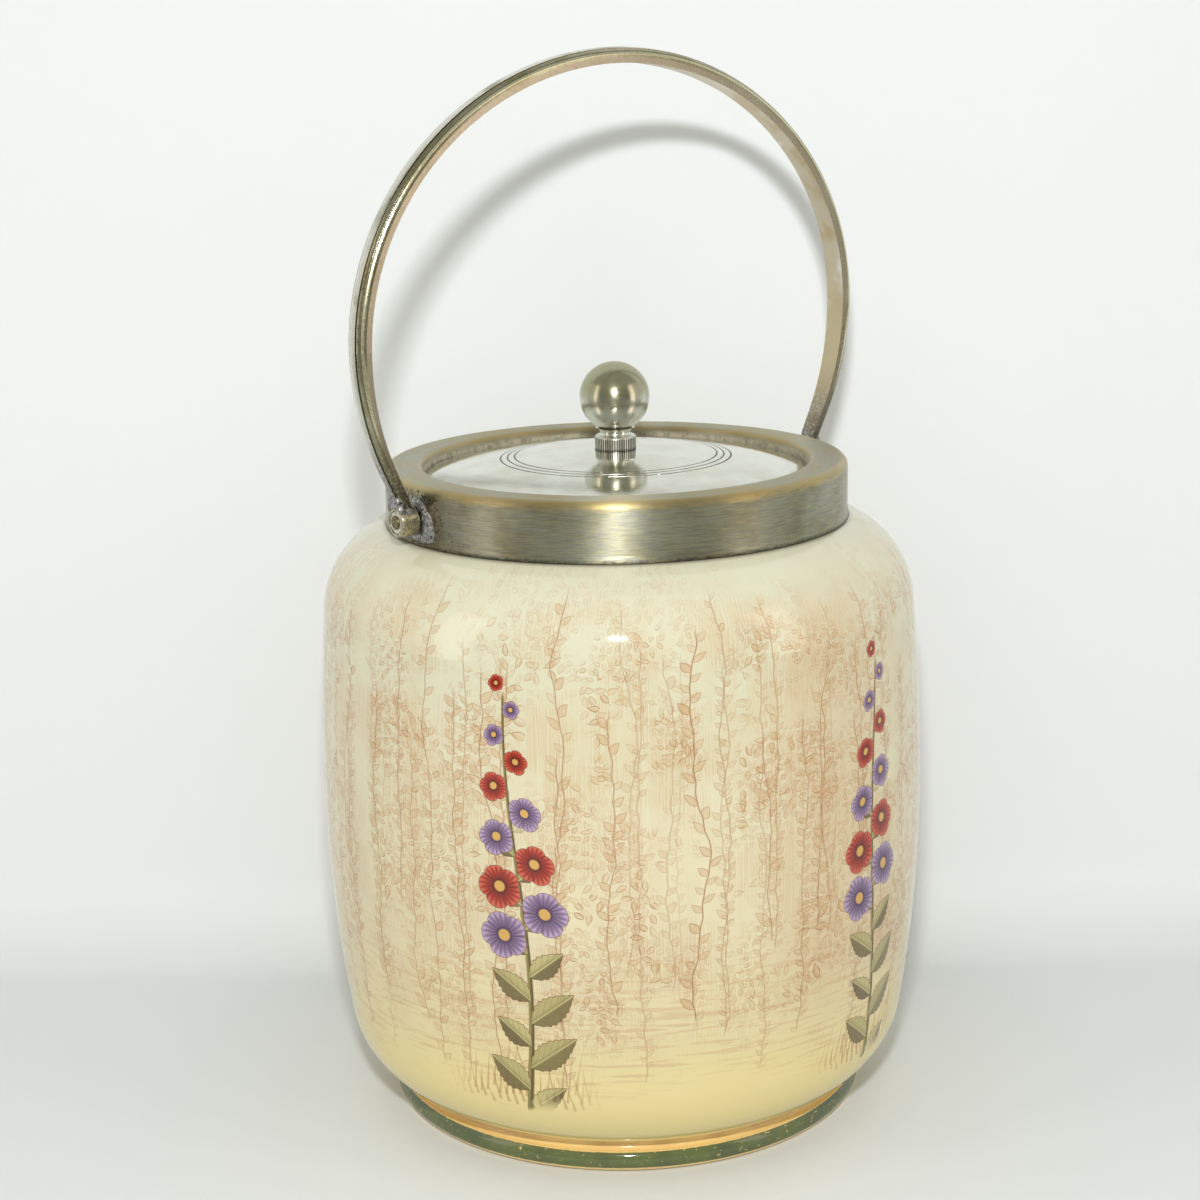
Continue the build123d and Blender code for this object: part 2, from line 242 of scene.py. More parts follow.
def colour(red, green, blue):
    """A colour written as 0 to 255 on screen, in the shader's own linear values."""

    def linear(value):
        value /= 255
        return value / 12.92 if value <= 0.04045 else ((value + 0.055) / 1.055) ** 2.4

    return linear(red), linear(green), linear(blue)


STREAK_RADIUS = 50  # mm, where round_streaks counts its marks


class Surface:
    """A new material with the jar's own coordinates in millimetres."""

    def __init__(self, name):
        self.material = bpy.data.materials.new(name)
        self.material.use_nodes = True
        self.tree = self.material.node_tree
        self.shader = self.tree.nodes["Principled BSDF"]
        where = self.tree.nodes.new("ShaderNodeTexCoord")
        self.place = self.millimetres(Field(where.outputs["Object"]))
        self.x, self.y, self.z = self.parts(self.place)
        self.radius = length(self.x, self.y)
        self.normal = self.parts(Field(where.outputs["Normal"]))

    def millimetres(self, place):
        node = self.tree.nodes.new("ShaderNodeVectorMath")
        node.operation = "SCALE"
        plug(node.inputs[0], place)
        plug(node.inputs["Scale"], 1 / MM)
        return Field(node.outputs[0])

    def parts(self, place):
        node = self.tree.nodes.new("ShaderNodeSeparateXYZ")
        plug(node.inputs[0], place)
        return [Field(socket) for socket in node.outputs]

    def set(self, **values):
        for name, value in values.items():
            plug(self.shader.inputs[name.replace("_", " ")], value)

    def bump(self, height, distance, strength=1.0):
        """Relief from a height field; distance is its depth in millimetres."""
        node = self.tree.nodes.new("ShaderNodeBump")
        plug(node.inputs["Height"], height)
        plug(node.inputs["Distance"], distance * MM)
        plug(node.inputs["Strength"], strength)
        self.tree.links.new(node.outputs[0], self.shader.inputs["Normal"])

    def round_streaks(self, along, across, detail=3.0):
        """Fine marks that run round the jar's axis, along and across in marks per millimetre."""
        round_x = self.x / self.radius * (STREAK_RADIUS * along)
        round_y = self.y / self.radius * (STREAK_RADIUS * along)
        stretched = vector(round_x, round_y, (self.z + self.radius) * across)
        return noise_at(stretched, 1.0, detail, 0.6)

    def turned_tangent(self):
        """Lets the sheen of a turned piece run along its axis."""
        node = self.tree.nodes.new("ShaderNodeTangent")
        node.direction_type = "RADIAL"
        node.axis = "Z"
        self.tree.links.new(node.outputs[0], self.shader.inputs["Tangent"])


# ---- Printed decoration ---------------------------------------------------------------
REPEATS = 5
CIRCUMFERENCE = 2 * pi * BODY_RADIUS
REPEAT_WIDTH = CIRCUMFERENCE / REPEATS
FIRST_SPRAY = radians(-19)  # from the side that faces the camera

SEPIA_WASH = colour(212, 200, 167)
SEPIA = colour(198, 162, 120)
SEPIA_LINE = colour(158, 106, 66)
OLIVE = colour(140, 128, 72)
OLIVE_DARK = colour(92, 80, 42)
OLIVE_LIGHT = colour(186, 176, 118)
CRIMSON = colour(158, 48, 30)
CRIMSON_DARK = colour(92, 22, 18)
CRIMSON_LIGHT = colour(206, 104, 80)
VIOLET = colour(130, 106, 138)
VIOLET_DARK = colour(78, 56, 86)
VIOLET_LIGHT = colour(184, 164, 190)
RUSSET = colour(112, 56, 30)
STAMEN = colour(206, 162, 88)


def leaf_rows(across, level, period, size, width, rise, seed, notch=0.0):
    """Leaves that stand alternately on both sides of a stem, one to a period of its length.

    Returns the leaf's signed edge distance, its long and cross coordinates and a number
    of its own, all for the leaf nearest to this place.
    """
    side = across > 0.0
    rung = level / period + side * 0.5
    number = whole(rung)
    own = random_at(number + side * 37.0, seed)
    up = (rung - number - 0.2) * period
    out = abs(across)
    along = out * cos(rise) + up * sin(rise)
    off = up * cos(rise) - out * sin(rise)
    grown = own * 0.35 + 0.65
    share = between(along / (grown * size), 0.0, 1.0)
    toothed = wave(along * 4.2) * notch + 1.0
    half = wave(power(share, 0.8) * pi) * grown * width * toothed
    inside = (along > 0.0) * (along < grown * size)
    return abs(off) - half * inside + (1.0 - inside), along, off, own


def sprigs(round_place, v, columns, size, seed):
    """Thin wandering stems with small leaves, one to a column round the jar, each one different.

    Returns their fill, their line work and the light veins of the leaves.
    """
    width = CIRCUMFERENCE / columns
    column = round_place / width
    number = whole(column)
    foot, tip = 24.0, 144.0  # the lowest and highest that a stem can reach
    first, second, third = (random_at(number, seed + 3.1 * i) for i in range(3))
    drift = noise_at(vector(v * 0.03, number * 7.7 + seed), 1.0, 1.0) - 0.5
    shiver = noise_at(vector(v * 0.15, number * 5.3 + seed), 1.0, 1.0) - 0.5
    across = (column - number - 0.5) * width - drift * (width * 0.7) - shiver * 2.2
    present = ramp(v - first * 42.0, foot, foot + 3.0) * ramp(v + second * 38.0, tip, tip - 5.0)
    present = present * (third > 0.12)
    grown = second * 0.35 + 0.75
    step = v + drift * 9.0
    edge, _, off, own = leaf_rows(
        across, step, size, size * grown, size * 0.25 * grown, 0.72, seed + number * 0.37
    )
    leafy = present * (own > 0.2) * ramp(abs(across), width * 0.5, width * 0.42)
    strength = third * 0.75 + 0.25
    fill = ramp(edge, 0.1, -0.1) * leafy * strength
    line = ramp(abs(edge + 0.04), 0.14, 0.03) * leafy * strength
    stem = ramp(abs(across), 0.24, 0.08) * present * strength
    vein = ramp(abs(off), 0.13, 0.04) * fill
    return fill * (own * 0.7 + 0.2), greater(line * (own * 0.5 + 0.4), stem), vein


def scattered_leaves(u, v, cell, size, width):
    """Loose leaves at random places and angles; returns fill and line work."""
    tree = u.tree
    spot = vector(u / cell, v / cell)
    nearest = tree.nodes.new("ShaderNodeTexVoronoi")
    nearest.voronoi_dimensions = "2D"
    nearest.feature = "F1"
    for name, value in (("Vector", spot), ("Scale", 1.0), ("Randomness", 0.85)):
        plug(nearest.inputs[name], value)
    away = tree.nodes.new("ShaderNodeVectorMath")
    away.operation = "SUBTRACT"
    plug(away.inputs[0], spot)
    tree.links.new(nearest.outputs["Position"], away.inputs[1])
    split = tree.nodes.new("ShaderNodeSeparateXYZ")
    tree.links.new(away.outputs[0], split.inputs[0])
    dx, dy = Field(split.outputs[0]) * cell, Field(split.outputs[1]) * cell
    own = tree.nodes.new("ShaderNodeSeparateColor")
    tree.links.new(nearest.outputs["Color"], own.inputs[0])
    angle, tone = Field(own.outputs[0]) * (2 * pi), Field(own.outputs[1])
    cosine, sine = maths("COSINE", angle), maths("SINE", angle)
    along = dx * cosine + dy * sine + size / 2
    off = dy * cosine - dx * sine
    half = wave(power(between(along / size, 0.0, 1.0), 0.8) * pi) * width
    edge = abs(off) - half
    fill = ramp(edge, 0.1, -0.08) * (tone * 0.75 + 0.25)
    shade = ramp(off, -0.1, 0.25) * 0.5 + 0.5
    line = ramp(abs(edge + 0.05), 0.18, 0.04) * tone
    return fill * shade, line


def grass(u, v, base, columns, tall, lean, seed):
    """Thin blades that stand in a row; returns their mask."""
    width = REPEAT_WIDTH / columns
    column = (u - (v - base) * lean) / width
    number = whole(column)
    own = random_at(number, seed)
    other = random_at(number, seed + 3.7)
    share = (v - base - other * 3.0) / (own * tall + tall * 0.35)
    bend = share * share * (other - 0.5) * width * 0.8
    off = abs((column - number - 0.5) * width - bend)
    half = (1.0 - share) * width * 0.2
    return ramp(off - half, 0.07, -0.05) * (share > 0.0) * (share < 1.0)


SPRAY_FOOT, SPRAY_TOP = 20.0, 122.0
LEAF_TOP, BLOOM_FOOT = 88.0, 62.0
LEAF_PERIOD, BLOOM_PERIOD = 11.5, 11.6


def spray(u, v, picture, phase):
    """A tall flowering stem in colour, painted over the picture so far."""
    across = u - wave((v - SPRAY_FOOT) * 0.05 + phase) * 2.4
    stem = ramp(abs(across) - (0.85 - v * 0.005), 0.12, -0.1)
    stem = stem * band(v, SPRAY_FOOT, SPRAY_TOP - 3.0, 1.0)
    picture = blend(stem, picture, OLIVE_DARK)
    picture = blend(stem * ramp(across, 0.25, -0.3), picture, OLIVE)

    # Broad leaves on the lower half, smaller as they climb.
    shrink = ramp(v, 110.0, 30.0) * 0.45 + 0.55
    size, width = shrink * 15.5, shrink * 3.9
    edge, along, off, own = leaf_rows(across, v, LEAF_PERIOD, size, width, 0.66, 5.0, 0.06)
    present = band(v, SPRAY_FOOT + 2, LEAF_TOP, 3.0)
    fill = ramp(edge, 0.1, -0.1) * present
    rib_place = (along - abs(off) * 1.3) / 2.1
    ribs = ramp(abs(rib_place - whole(rib_place) - 0.5), 0.07, 0.02)
    tint = blend(ramp(off, -0.8, 1.4), OLIVE_DARK, OLIVE_LIGHT)
    tint = blend(0.45 * ramp(own, 0.2, 0.9), tint, OLIVE)
    tint = blend(ribs * 0.55, tint, OLIVE_DARK)
    tint = blend(ramp(abs(off), 0.22, 0.08), tint, OLIVE_LIGHT)
    picture = blend(fill * 0.92, picture, tint)
    picture = blend(ramp(abs(edge), 0.17, 0.04) * present * 0.8, picture, RUSSET)

    # Blooms on the upper half, alternately crimson and violet.
    side = across > 0.0
    rung = v / BLOOM_PERIOD + side * 0.5
    number = whole(rung)
    lower = ramp(v, SPRAY_TOP + 2.0, BLOOM_FOOT)
    size = lower * 3.4 + 2.3 - random_at(number, 3.3) * 0.5
    dx = abs(across) - size * 0.93
    dy = (rung - number - 0.5) * BLOOM_PERIOD
    far = length(dx, dy)
    around = maths("ARCTAN2", dy, dx)
    lobes = power(abs(maths("COSINE", around * 2.5)), 0.5)
    edge = far - size * (lobes * 0.2 + 0.8)
    middle_level = (number + 0.5 - side * 0.5) * BLOOM_PERIOD
    present = (middle_level > BLOOM_FOOT) * (middle_level < SPRAY_TOP)
    fill = ramp(edge, 0.09, -0.09) * present
    share = far / size
    parity = number + side
    violet = maths("MODULO", parity, 2.0) > 0.5
    dark = blend(violet, CRIMSON_DARK, VIOLET_DARK)
    middle = blend(violet, CRIMSON, VIOLET)
    light = blend(violet, CRIMSON_LIGHT, VIOLET_LIGHT)
    streaks = wave(around * 23.0 + share * 3.0) * 0.13
    tint = blend(ramp(share + streaks, 0.15, 0.75), dark, middle)
    tint = blend(ramp(share + streaks, 0.68, 1.0) * 0.8, tint, light)
    tint = blend(ramp(lobes, 0.5, 0.12) * 0.65, tint, dark)
    tint = blend(ramp(share, 0.3, 0.2), tint, STAMEN)
    tint = blend(band(share, 0.26, 0.34, 0.03), tint, dark)
    picture = blend(fill, picture, tint)
    return blend(ramp(abs(edge), 0.14, 0.03) * present * 0.7, picture, RUSSET)


PRINT_TOP = 148.0  # the height at which the sepia has faded out
PATCHES = (  # loose leaves: cell, leaf size, width, spacing of clusters, threshold, strength
    (1.7, 1.9, 0.5, 0.045, 0.47, 0.6),
    (2.5, 2.9, 0.7, 0.06, 0.5, 0.75),
    (3.6, 4.0, 0.95, 0.05, 0.56, 0.85),
)
SPRIGS = (  # columns round the jar, leaf size, seed, strength
    (47, 2.9, 2.7, 0.6),
    (37, 3.7, 8.1, 0.75),
    (29, 4.9, 4.4, 0.85),
)
TUFTS = (  # foot, blades to a repeat, height, lean, seed
    (22.0, 53, 13.0, 0.16, 1.3),
    (20.0, 44, 9.0, -0.2, 6.1),
)


def printed(surface, ground):
    """The sepia foliage print with its coloured sprays, laid on the ground colour."""
    front = turned(0, -1, 0)
    right = turned(1, 0, 0)
    toward = surface.x * front.x + surface.y * front.y
    sideways = surface.x * right.x + surface.y * right.y
    angle = maths("ARCTAN2", sideways, toward)
    turn = (angle - FIRST_SPRAY) * (REPEATS / (2 * pi)) + 0.5
    number = whole(turn)
    u = (turn - number - 0.5) * REPEAT_WIDTH
    v = surface.z
    picture = ground

    # A pale wash, darker upright glades in it, and hatching.
    round_place = turn * REPEAT_WIDTH
    tone = noise_at(surface.place, 0.035, 2.0)
    upright = noise_at(vector(surface.x * 0.33, surface.y * 0.33, surface.z * 0.02), 1.0, 3.0, 0.6)
    grain = noise_at(surface.place, 3.2, 1.0)
    level = ramp(v + tone * 18.0, 34.0, 66.0) * ramp(v, PRINT_TOP, PRINT_TOP - 16.0)
    wash = level * (ramp(tone, 0.34, 0.6) * 0.6 + 0.4) * ramp(upright + grain * 0.22, 0.34, 0.68)
    picture = blend(wash * 0.75, picture, SEPIA_WASH)
    glade = noise_at(vector(surface.x * 0.045, surface.y * 0.045, surface.z * 0.007), 1.0, 2.0)
    picture = blend(level * ramp(glade + grain * 0.05, 0.5, 0.62) * 0.24, picture, SEPIA)
    hatch = wave(round_place * 8.6 + upright * 24.0) * 0.5 + 0.5
    shade = noise_at(surface.place, 0.07, 3.0, 0.6)
    hatched = level * ramp(shade + grain * 0.16, 0.5, 0.66) * ramp(hatch + grain * 0.7, 0.6, 1.1)
    picture = blend(hatched * 0.32, picture, SEPIA)

    # Flat strokes of ground under the foliage.
    flat = vector(surface.x * 0.07, surface.y * 0.07, surface.z * 0.9)
    strokes = noise_at(flat, 1.0, 3.0, 0.65, 0.4)
    low = ramp(v + tone * 20.0, 32.0, 44.0) * ramp(v, 70.0, 46.0)
    picture = blend(low * ramp(strokes + grain * 0.12, 0.55, 0.7) * 0.5, picture, SEPIA)

    # Loose leaves fade out at both ends of the print and at the seams between its repeats.
    inside = ramp(abs(u), REPEAT_WIDTH / 2 - 0.5, REPEAT_WIDTH / 2 - 7.0)
    inside = inside * ramp(v + tone * 18.0, 40.0, 58.0)
    inside = inside * (ramp(v, PRINT_TOP - 8.0, PRINT_TOP - 24.0) * 0.75 + 0.25)
    other_v = v + number * 61.3
    for cell, size, width, spacing, least, strength in PATCHES:
        apart = vector(surface.x + cell * 40.0, surface.y, surface.z)
        patch = ramp(noise_at(apart, spacing, 3.0), least, least + 0.1) * inside
        fill, line = scattered_leaves(u + cell * 9.0, other_v, cell, size, width)
        picture = blend(fill * patch * strength, picture, SEPIA)
        picture = blend(line * patch * strength, picture, SEPIA_LINE)

    # Thin sprigs, then tufts of grass with a coloured spray in the middle of each repeat.
    for columns, size, seed, strength in SPRIGS:
        fill, line, vein = sprigs(round_place, v, columns, size, seed)
        picture = blend(fill * strength, picture, SEPIA)
        picture = blend(line * strength, picture, SEPIA_LINE)
        picture = blend(vein * strength * 0.5, picture, SEPIA_WASH)

    tufts = ramp(abs(u) + (tone - 0.5) * 20.0, 24.0, 9.0)
    for base, columns, tall, lean, seed in TUFTS:
        blades = grass(u, v, base, columns, tall, lean, seed) * tufts
        picture = blend(blades * 0.5, picture, SEPIA_LINE)
    picture = spray(u, v, picture, number * 1.7)

    # The faces that look towards the axis, inside the jar, stay plain.
    outward = surface.normal[0] * surface.x + surface.normal[1] * surface.y
    outside = ramp(outward / surface.radius, 0.02, 0.12)
    return blend(outside, ground, picture)


# ---- Materials ------------------------------------------------------------------------
GREEN = colour(98, 108, 66)
GREEN_DARK = colour(84, 94, 66)
AMBER = colour(244, 212, 142)
AMBER_POOL_AND_REFLECTION = colour(188, 138, 74)
BUTTER = colour(226, 208, 146)
CREAM = colour(220, 210, 174)
IVORY = colour(212, 212, 188)
BISCUIT = colour(214, 190, 150)
COLLAR_FOOT_SHADE = colour(96, 84, 64)


def glazed_pottery():
    s = Surface("glazed_pottery_printed")
    z = s.z
    mottle = noise_at(s.place, 0.09, 3.0)
    ground = blend(ramp(z + mottle * 14.0, 20.0, 75.0), BUTTER, CREAM)
    ground = blend(ramp(z + mottle * 20.0, 70.0, 150.0), ground, IVORY)
    picture = printed(s, ground)

    # Amber glaze pooled at the waist over the foot.
    flecks = noise_at(s.place, 0.9, 4.0, 0.7)
    scratches = noise_at(vector(s.x * 0.25, s.y * 0.25, s.z * 4.0), 1.0, 3.0, 0.7)
    outer = ramp(s.radius, FOOT_FACE_INNER - 0.8, FOOT_FACE_INNER - 0.2)
    outer = outer * ramp(z, WAIST_TOP + 4.2, WAIST_TOP + 2.7)
    creep = z + (mottle - 0.5) * 1.6
    picture = blend(outer * ramp(creep, WAIST_TOP + 1.8, WAIST_TOP + 0.2), picture, AMBER)
    # Darker in the crease: thicker pooled glaze, with a painted dark reflection.
    crease_pool_and_reflection = band(z, FOOT_TOP + 0.5, WAIST_TOP - 0.4, 0.5)
    picture = blend(outer * crease_pool_and_reflection * ramp(mottle, 0.3, 0.7) * 0.5, picture, AMBER_POOL_AND_REFLECTION)

    # A green bead round the foot, worn through in places.
    bead = band(z + (flecks - 0.5) * 0.25, BEAD_FOOT, FOOT_TOP - 0.15, 0.12)
    worn = ramp(flecks * 0.6 + scratches * 0.5, 0.65, 0.71)
    green = blend(ramp(mottle, 0.35, 0.65), GREEN, GREEN_DARK)
    picture = blend(outer * bead, picture, green)
    picture = blend(outer * bead * worn, picture, AMBER)

    # Bare biscuit where the jar stands, and painted shade along the collar's foot.
    bare = band(s.radius, FOOT_FACE_INNER + 0.6, FOOT_FACE_OUTER - 0.1, 0.15)
    bare = bare * ramp(z, 0.25, 0.1)
    picture = blend(bare, picture, BISCUIT)
    # Painted shade on the pottery just under the collar's edge.
    darkening = band(s.radius, COLLAR_RADIUS - 0.8, COLLAR_RADIUS + 1.4, 0.6)
    darkening = darkening * ramp(z, COLLAR_BOTTOM - 0.8, COLLAR_BOTTOM)
    picture = blend(darkening * 0.7, picture, COLLAR_FOOT_SHADE)

    s.set(Base_Color=picture, IOR=1.52)
    dull = ramp(noise_at(s.place, 0.35, 3.0), 0.62, 0.75)
    s.set(Roughness=bare * 0.5 + dull * 0.05 + 0.07)
    ripple = noise_at(s.place, 0.12, 2.0) + noise_at(s.place, 0.6, 2.0) * 0.08
    s.bump(ripple + bare * noise_at(s.place, 5.0, 3.0) * 0.6, 0.16, 0.5)
    return s.material


SILVER = colour(228, 229, 220), colour(212, 211, 198)
OLD_SILVER = colour(163, 162, 147), colour(147, 142, 120)
OLIVE_TARNISH = colour(118, 112, 78)
BROWN_TARNISH = colour(112, 100, 80)
DARK_TARNISH = colour(48, 44, 40)
GOLD_WEAR = colour(196, 172, 112)
FLANGE_PAINTED_SHEEN = colour(184, 180, 158)
YELLOW_STREAK = colour(186, 178, 124)
GREY_STREAK = colour(120, 127, 116)
PALE_LINING = colour(206, 198, 172)
RUST = colour(128, 84, 50)
BALL_HAZE_AND_REFLECTION = colour(150, 146, 108)


def turned_silver(name, plate, roughness, streak, anisotropy, extra=None):
    """Silver plate that was turned and polished round the jar's axis, with age on it."""
    s = Surface(name)
    fine = s.round_streaks(0.12, 5.0)
    broad = s.round_streaks(0.09, 1.1)
    cloud = noise_at(s.place, 0.11, 3.0)
    skin = blend(ramp(cloud, 0.35, 0.7), *plate)
    skin = blend(ramp(fine * 0.8 + broad * 0.2, 0.48, 0.62) * streak, skin, OLIVE_TARNISH)
    rough = ramp(broad, 0.4, 0.65) * 0.05 + roughness
    metal = 1.0
    if extra:
        skin, rough, metal = extra(s, skin, rough, cloud)
    s.set(Base_Color=skin, Roughness=rough, Metallic=metal)
    s.set(Anisotropic=anisotropy, Anisotropic_Rotation=0.25)
    s.turned_tangent()
    s.bump(fine, 0.012, 0.6)
    return s.material


def collar_age(s, skin, rough, cloud):
    """Worn edges, a flat top painted paler as a painted reflection, streaks on the band, and grime
    in the recess, low down and by the pivots.
    """
    top = s.z - COLLAR_TOP
    shoulder = s.radius - COLLAR_RADIUS
    edge_wear = ramp(shoulder, -2.6, -0.8) * ramp(top, -2.6, -1.0)
    lip_wear = band(s.radius, RECESS_RADIUS, RECESS_RADIUS + 1.0, 0.3) * ramp(top, -2.0, -0.9)
    flange = ramp(top, -0.6, -0.1)
    # The flat top is painted paler: a painted reflection of the pale wall.
    skin = blend(flange * 0.6, skin, FLANGE_PAINTED_SHEEN)
    flange = flange * ramp(cloud, 0.4, 0.65) * 0.35
    wear = greater(greater(edge_wear * 0.8, flange), lip_wear * 0.7) * (cloud * 0.5 + 0.6)
    skin = blend(wear, skin, GOLD_WEAR)
    recess = ramp(s.radius, RECESS_RADIUS + 0.3, RECESS_RADIUS + 0.05) * ramp(top, -0.8, -2.2)
    spots = noise_at(s.place, 1.3, 3.0, 0.65)
    darkening = ramp(noise_at(s.place, 0.5, 4.0, 0.7), 0.4, 0.7) * 0.6
    skin = blend(recess * 0.8, skin, PALE_LINING)
    skin = blend(recess * darkening, skin, BROWN_TARNISH)
    bottom = ramp(s.z + spots * 1.4, COLLAR_BOTTOM + 1.7, COLLAR_BOTTOM + 0.5)
    skin = blend(bottom * 0.8, skin, DARK_TARNISH)
    specks = s.round_streaks(0.3, 4.5)
    side = ramp(s.radius, COLLAR_RADIUS - 0.5, COLLAR_RADIUS - 0.1)
    skin = blend(side * ramp(specks, 0.5, 0.62) * 0.35, skin, YELLOW_STREAK)
    skin = blend(side * ramp(specks, 0.5, 0.38) * 0.4, skin, GREY_STREAK)
    to_pivot = length(s.y, s.z - PIVOT_HEIGHT)
    stain = ramp(to_pivot, 22.0, 6.0) * side
    skin = blend(stain * ramp(cloud + spots * 0.4, 0.45, 0.8) * 0.55, skin, BROWN_TARNISH)
    pits = ramp(noise_at(s.place, 1.1, 4.0, 0.75) - to_pivot * 0.01, 0.46, 0.52)
    below = ramp(abs(s.y), 26.0, 12.0) * ramp(s.z, COLLAR_BOTTOM + 5.1, COLLAR_BOTTOM + 1.6)
    near = greater(ramp(to_pivot, 14.0, 6.0), below * 0.9) * side
    skin = blend(near * pits * 0.95, skin, DARK_TARNISH)
    rust = ramp(noise_at(vector(s.x + 40.0, s.y, s.z), 0.9, 4.0, 0.7), 0.57, 0.64)
    skin = blend(near * rust * 0.6, skin, RUST)
    rough = rough + near * pits * 0.25 + recess * 0.2 + bottom * 0.2
    return skin, rough, 1.0 - recess * 0.65


def lid_age(s, skin, rough, cloud):
    """Dark lines in the engraved rings, and a dull edge."""
    rings = 0.0
    for radius in ENGRAVED_RINGS:
        rings = greater(rings, band(s.radius, radius - RING_HALF, radius + RING_HALF, 0.1))
    skin = blend(rings * 0.85, skin, DARK_TARNISH)
    edge = ramp(s.radius, LID_RADIUS - 1.2, LID_RADIUS - 0.1)
    skin = blend(edge * 0.5, skin, BROWN_TARNISH)
    smudge = ramp(noise_at(s.place, 0.07, 2.0, 0.6, 1.2), 0.5, 0.7)
    return skin, rough + smudge * 0.07 + rings * 0.3, 1.0


def ferrule_age(s, skin, rough, cloud):
    """Grime in the knurls and round the foot."""
    turn = maths("ARCTAN2", s.y, s.x) * (KNURLS / (2 * pi))
    groove = abs(turn - whole(turn + 0.5))
    depth = s.radius - FERRULE_RADIUS
    knurled = ramp(depth, -0.4, -0.25) * ramp(s.z, FERRULE_TOP - 0.4, FERRULE_TOP - 0.9)
    darkening = greater(ramp(groove, 0.34, 0.16), ramp(depth, -0.06, -0.16)) * knurled
    skin = blend(darkening * 0.8, skin, DARK_TARNISH)
    foot = ramp(s.z, FERRULE_FOOT + 0.6, FERRULE_FOOT + 0.15)
    return blend(foot * 0.5, skin, DARK_TARNISH), rough + darkening * 0.2, 1.0


def ball_age(s, skin, rough, cloud):
    """A greenish haze on the upper half, partly tarnish and partly a painted reflection of the dim
    room above, dirt at the seat, and a few spots.
    """
    # Darker upper half: tarnish haze with a painted reflection of the dim room above.
    haze_and_reflection = ramp(s.z + cloud * 4.0, BALL_CENTRE - 1.0, BALL_CENTRE + 5.0)
    skin = blend(haze_and_reflection * 0.8, skin, BALL_HAZE_AND_REFLECTION)
    skin = blend(ramp(s.z, BALL_SEAT + 1.2, BALL_SEAT) * 0.7, skin, DARK_TARNISH)
    spots = ramp(noise_at(s.place, 0.8, 4.0, 0.7), 0.63, 0.7)
    return blend(spots * 0.6, skin, OLIVE_TARNISH), rough + spots * 0.1, 1.0


ARCH_CENTRE = 40.0  # the level, over the pivots, that the strip's outer side faces away from
STRIP_PLATE = colour(168, 164, 140), colour(146, 138, 106)
STRIP_EDGE = colour(162, 152, 134)
STRIP_RIB_HIGHLIGHT = colour(226, 224, 214)
STRIP_CORNER_HIGHLIGHT = colour(222, 216, 182)
INNER_FACE_PAINTED_PALE = colour(212, 200, 178)
INNER_BRIGHT = colour(236, 236, 228)
INNER_GOLD = colour(184, 160, 112)
INNER_OLIVE = colour(190, 172, 124)


def strip_silver():
    """The handle's strip: worn rib and corner bead with painted highlights, dark grooves, tan
    edges and a patchy inner face painted pale as a reflection.
    """
    s = Surface("handle_plate")
    up = s.z - PIVOT_HEIGHT
    over = up - ARCH_CENTRE
    across = s.y * cos(STRIP_LEAN) + up * sin(STRIP_LEAN)
    outward = (s.normal[0] * s.x + s.normal[2] * over) / length(s.x, over)
    outer = ramp(outward, 0.02, 0.2)
    inner = ramp(outward, -0.5, -0.8)
    edge = (1.0 - outer) * (1.0 - inner)
    cloud = noise_at(s.place, 0.13, 3.0)
    spots = noise_at(s.place, 1.6, 3.0, 0.7)
    off = abs(across)
    patches = noise_at(s.place, 0.055, 3.0, 0.6)
    skin = blend(ramp(cloud, 0.35, 0.65), *STRIP_PLATE)
    skin = blend(edge * 0.8, skin, STRIP_EDGE)
    # The inner face is painted pale: a painted reflection.
    skin = blend(inner * (cloud * 0.3 + 0.7), skin, INNER_FACE_PAINTED_PALE)
    skin = blend(inner * ramp(patches, 0.5, 0.6) * 0.75, skin, INNER_BRIGHT)
    skin = blend(inner * ramp(patches, 0.47, 0.38) * 0.6, skin, INNER_GOLD)
    skin = blend(inner * band(up, 14.0, 46.0, 8.0) * 0.45, skin, INNER_OLIVE)

    # The outer face, from its middle: rib with a painted highlight, pitted groove, plain flank,
    # dark lining, and a bead at the corner with a painted highlight.
    groove = band(off, RIB_HALF, GROOVE_END, 0.06) * outer
    worn = ramp(up, 70.0, 25.0) * 0.35 + 0.45
    skin = blend(groove * ramp(spots, 0.3, 0.5) * worn, skin, DARK_TARNISH)
    # A painted highlight along the worn rib.
    rib_highlight = ramp(off, RIB_HALF + 0.05, RIB_HALF - 0.1) * outer
    skin = blend(rib_highlight * ramp(cloud, 0.3, 0.5) * 0.9, skin, STRIP_RIB_HIGHLIGHT)
    # A painted highlight along the bead at the corner.
    corner_bead_highlight = band(off, STRIP_HALF - 0.42, STRIP_HALF - 0.12, 0.06) * outer
    skin = blend(corner_bead_highlight * 0.8, skin, STRIP_CORNER_HIGHLIGHT)
    lining = band(off, STRIP_HALF - 0.62, STRIP_HALF - 0.46, 0.05) * outer
    skin = blend(lining * 0.35, skin, DARK_TARNISH)

    # Soot that creeps up from the solder.
    foot = ramp(up + spots * 10.0, 32.0, 8.0)
    skin = blend(foot * ramp(spots, 0.3, 0.55) * 0.85, skin, DARK_TARNISH)
    rough = groove * 0.3 + foot * 0.15 + ramp(spots, 0.4, 0.7) * 0.08 + inner * 0.08 + 0.22
    s.set(Base_Color=skin, Roughness=rough, Metallic=1.0)
    relief = spots * 0.2 + noise_at(s.place, 0.7, 2.0) * 0.2 + corner_bead_highlight * 2.0 - lining * 1.5
    s.bump(relief, 0.06, 0.6)
    return s.material


KNUCKLE_PLATE = colour(198, 190, 166), colour(142, 132, 110)
STUD_BRASS = colour(138, 130, 98), colour(92, 86, 62)
BRIGHT_WASHER = colour(226, 222, 206), colour(176, 168, 140)


